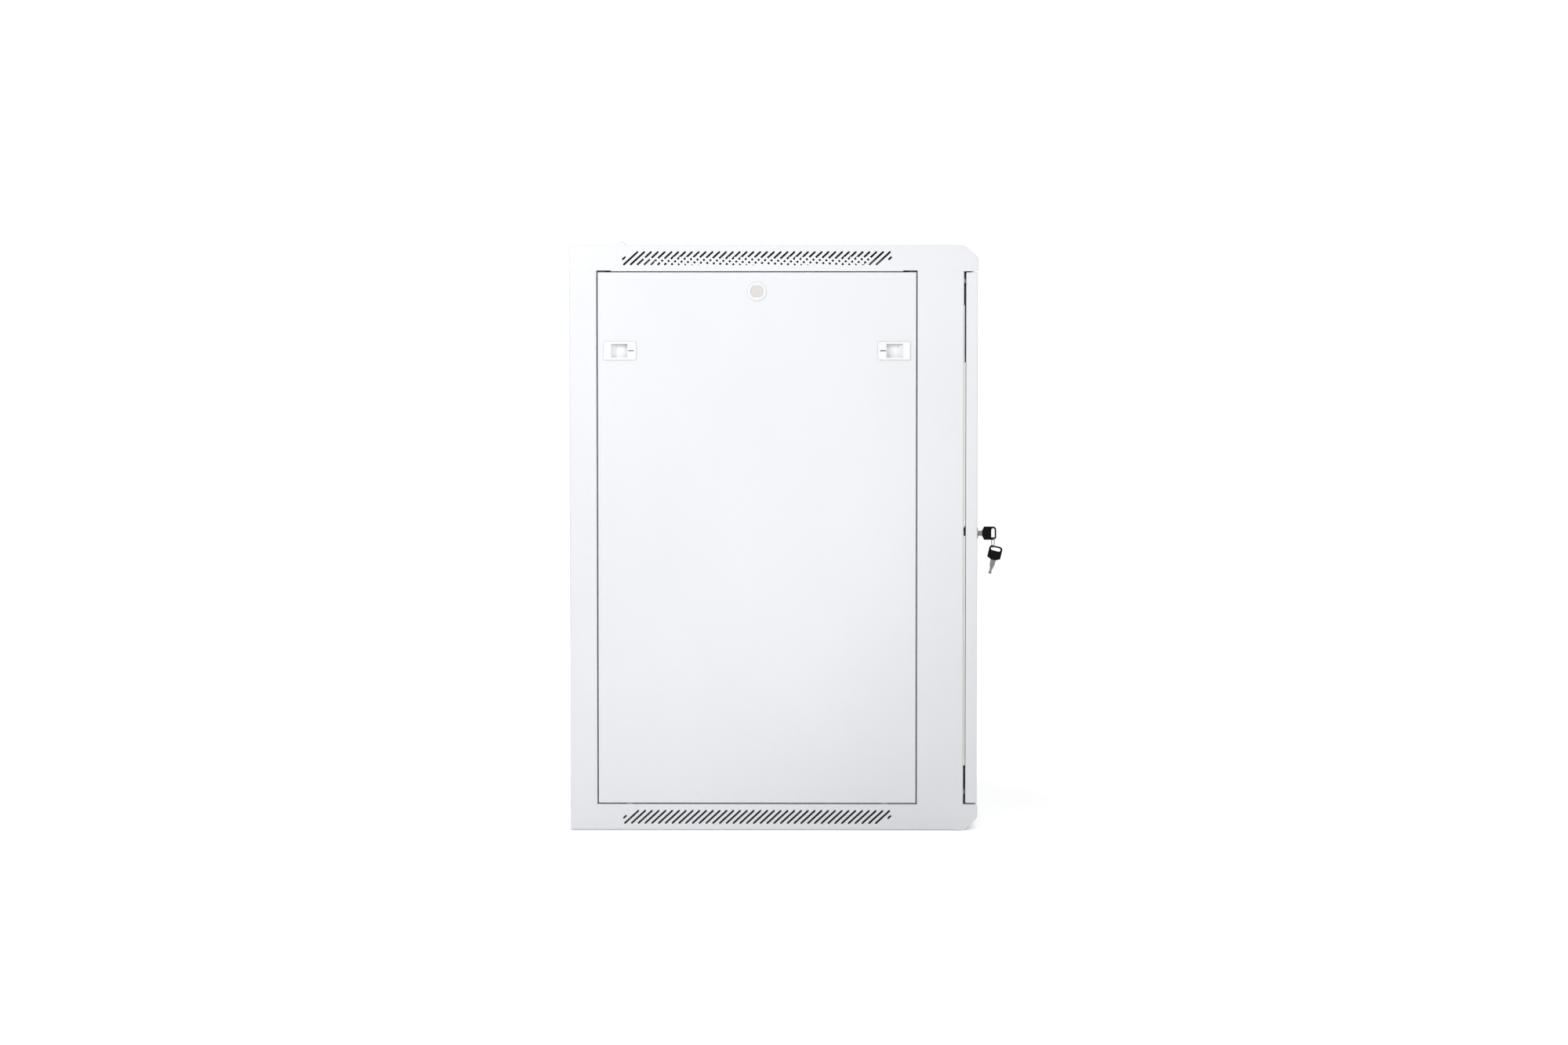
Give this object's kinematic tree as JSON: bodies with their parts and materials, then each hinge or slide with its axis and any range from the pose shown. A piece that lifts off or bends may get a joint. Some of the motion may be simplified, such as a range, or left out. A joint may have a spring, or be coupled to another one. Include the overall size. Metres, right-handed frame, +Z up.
{
  "type": "network server rack cabinet",
  "caption": "Wall-mount 19-inch network cabinet: vented steel case with a locking glass door, tilt-out side panels with finger slides and sliding cable covers.",
  "frame": {"origin": "centre of the floor's underside, the face that the cabinet stands on", "axes": "+X to the right seen from in front of the door, -Y out of the door, +Y to the wall, +Z up"},
  "size_m": [0.6032, 0.6385, 0.8711],
  "materials": {
    "powder_coat": "light grey powder coat, fine texture, satin",
    "rail_coat": "grey powder coat, satin",
    "zinc_plate": "bright zinc plate",
    "brass": "plain",
    "nylon": "natural nylon",
    "tempered_glass": "clear, polished",
    "foam_seal": "closed-cell foam",
    "spring_steel": "drawn wire",
    "lock_chrome": "satin chrome plate",
    "lock_steel": "zinc plate, dull",
    "key_steel": "nickel plate",
    "key_plastic": "moulded, matt",
    "blank_plastic": "moulded, matt",
    "latch_plastic": "moulded, semi-gloss"
  },
  "bodies": {
    "cabinet": {"roof": "powder_coat", "floor": "powder_coat", "front_post_left": "powder_coat", "front_post_right": "powder_coat", "rear_post_left": "powder_coat", "rear_post_right": "powder_coat", "rear_panel": "powder_coat", "support_upper_left": "powder_coat", "support_upper_right": "powder_coat", "support_lower_left": "powder_coat", "support_lower_right": "powder_coat", "front_rail_left": "rail_coat", "front_rail_right": "rail_coat", "rear_rail_left": "rail_coat", "rear_rail_right": "rail_coat", "frame_screws": "zinc_plate", "rail_bolts": "zinc_plate", "rail_nuts": "zinc_plate", "rear_panel_screws": "zinc_plate", "roof_thumb_screw": "zinc_plate", "floor_thumb_screw": "zinc_plate", "cover_rivets": "zinc_plate", "earth_stud": "brass", "earth_nuts": "zinc_plate", "hinge_bushes": "nylon", "door_buffers": "nylon"},
    "roof_cover": {"roof_cable_cover": "powder_coat"},
    "floor_cover": {"floor_cable_cover": "powder_coat"},
    "door": {"door_frame": "powder_coat", "door_glass": "tempered_glass", "glass_seal": "foam_seal", "glass_clips": "zinc_plate", "hinge_brackets": "powder_coat", "lower_hinge_pin": "zinc_plate", "hinge_pin_spring": "spring_steel", "lock_body": "lock_chrome", "lock_nut": "lock_steel"},
    "upper_pin": {"upper_hinge_pin": "zinc_plate"},
    "lock_turn": {"lock_plug": "lock_chrome", "lock_cam": "lock_steel", "cam_screw": "zinc_plate"},
    "key": {"key_blade": "key_steel", "key_head": "key_plastic"},
    "ring": {"key_ring": "key_steel"},
    "spare_key": {"spare_key_blade": "key_steel", "spare_key_head": "key_plastic"},
    "left_panel": {"side_panel_left": "powder_coat", "lock_blank_left": "blank_plastic", "latch_guides_left": "latch_plastic", "spring_rear_left": "spring_steel", "spring_front_left": "spring_steel"},
    "right_panel": {"side_panel_right": "powder_coat", "lock_blank_right": "blank_plastic", "latch_guides_right": "latch_plastic", "spring_rear_right": "spring_steel", "spring_front_right": "spring_steel"},
    "slide_rear_left": {"latch_rear_left": "latch_plastic"},
    "slide_front_left": {"latch_front_left": "latch_plastic"},
    "slide_rear_right": {"latch_rear_right": "latch_plastic"},
    "slide_front_right": {"latch_front_right": "latch_plastic"}
  },
  "joints": [
    {"name": "door_swing", "type": "hinge", "parent": "cabinet", "child": "door", "pos_m": [0.293, -0.2905, 0], "axis": [0, 0, 1], "range_deg": [0, 180]},
    {"name": "hinge_pin_pull", "type": "slide", "parent": "door", "child": "upper_pin", "axis": [0, 0, -1], "range_m": [0, 0.01], "stiffness_N_per_m": 600, "springref_m": -0.01, "deforming": ["hinge_pin_spring"]},
    {"name": "key_turn", "type": "hinge", "parent": "door", "child": "lock_turn", "pos_m": [-0.253, -0.29, 0.436], "axis": [0, 1, 0], "range_deg": [0, 90]},
    {"name": "key_pull", "type": "slide", "parent": "lock_turn", "child": "key", "axis": [0, -1, 0], "range_m": [0, 0.025]},
    {"name": "ring_hang", "type": "hinge", "parent": "key", "child": "ring", "pos_m": [-0.253, -0.32445, 0.42745], "axis": [0, 1, 0], "range_deg": [-90, 0]},
    {"name": "spare_key_swing", "type": "hinge", "parent": "ring", "child": "spare_key", "pos_m": [-0.253, -0.32445, 0.41485], "axis": [1, 0, 0], "range_deg": [-12, 12]},
    {"name": "left_panel_tilt", "type": "hinge", "parent": "cabinet", "child": "left_panel", "pos_m": [-0.2994, 0, 0.04], "axis": [0, -1, 0], "range_deg": [0, 25]},
    {"name": "right_panel_tilt", "type": "hinge", "parent": "cabinet", "child": "right_panel", "pos_m": [0.2994, 0, 0.04], "axis": [0, 1, 0], "range_deg": [0, 25]},
    {"name": "left_rear_slide", "type": "slide", "parent": "left_panel", "child": "slide_rear_left", "axis": [0, -1, 0], "range_m": [0, 0.008], "stiffness_N_per_m": 400, "springref_m": -0.004, "deforming": ["spring_rear_left"]},
    {"name": "left_front_slide", "type": "slide", "parent": "left_panel", "child": "slide_front_left", "axis": [0, 1, 0], "range_m": [0, 0.008], "stiffness_N_per_m": 400, "springref_m": -0.004, "deforming": ["spring_front_left"]},
    {"name": "right_rear_slide", "type": "slide", "parent": "right_panel", "child": "slide_rear_right", "axis": [0, -1, 0], "range_m": [0, 0.008], "stiffness_N_per_m": 400, "springref_m": -0.004, "deforming": ["spring_rear_right"]},
    {"name": "right_front_slide", "type": "slide", "parent": "right_panel", "child": "slide_front_right", "axis": [0, 1, 0], "range_m": [0, 0.008], "stiffness_N_per_m": 400, "springref_m": -0.004, "deforming": ["spring_front_right"]},
    {"name": "roof_cover_slide", "type": "slide", "parent": "cabinet", "child": "roof_cover", "axis": [0, 1, 0], "range_m": [0, 0.04]},
    {"name": "floor_cover_slide", "type": "slide", "parent": "cabinet", "child": "floor_cover", "axis": [0, 1, 0], "range_m": [0, 0.04]}
  ],
  "couplings": [
    {"joint": "ring_hang", "follows": "key_turn", "ratio": -1}
  ]
}
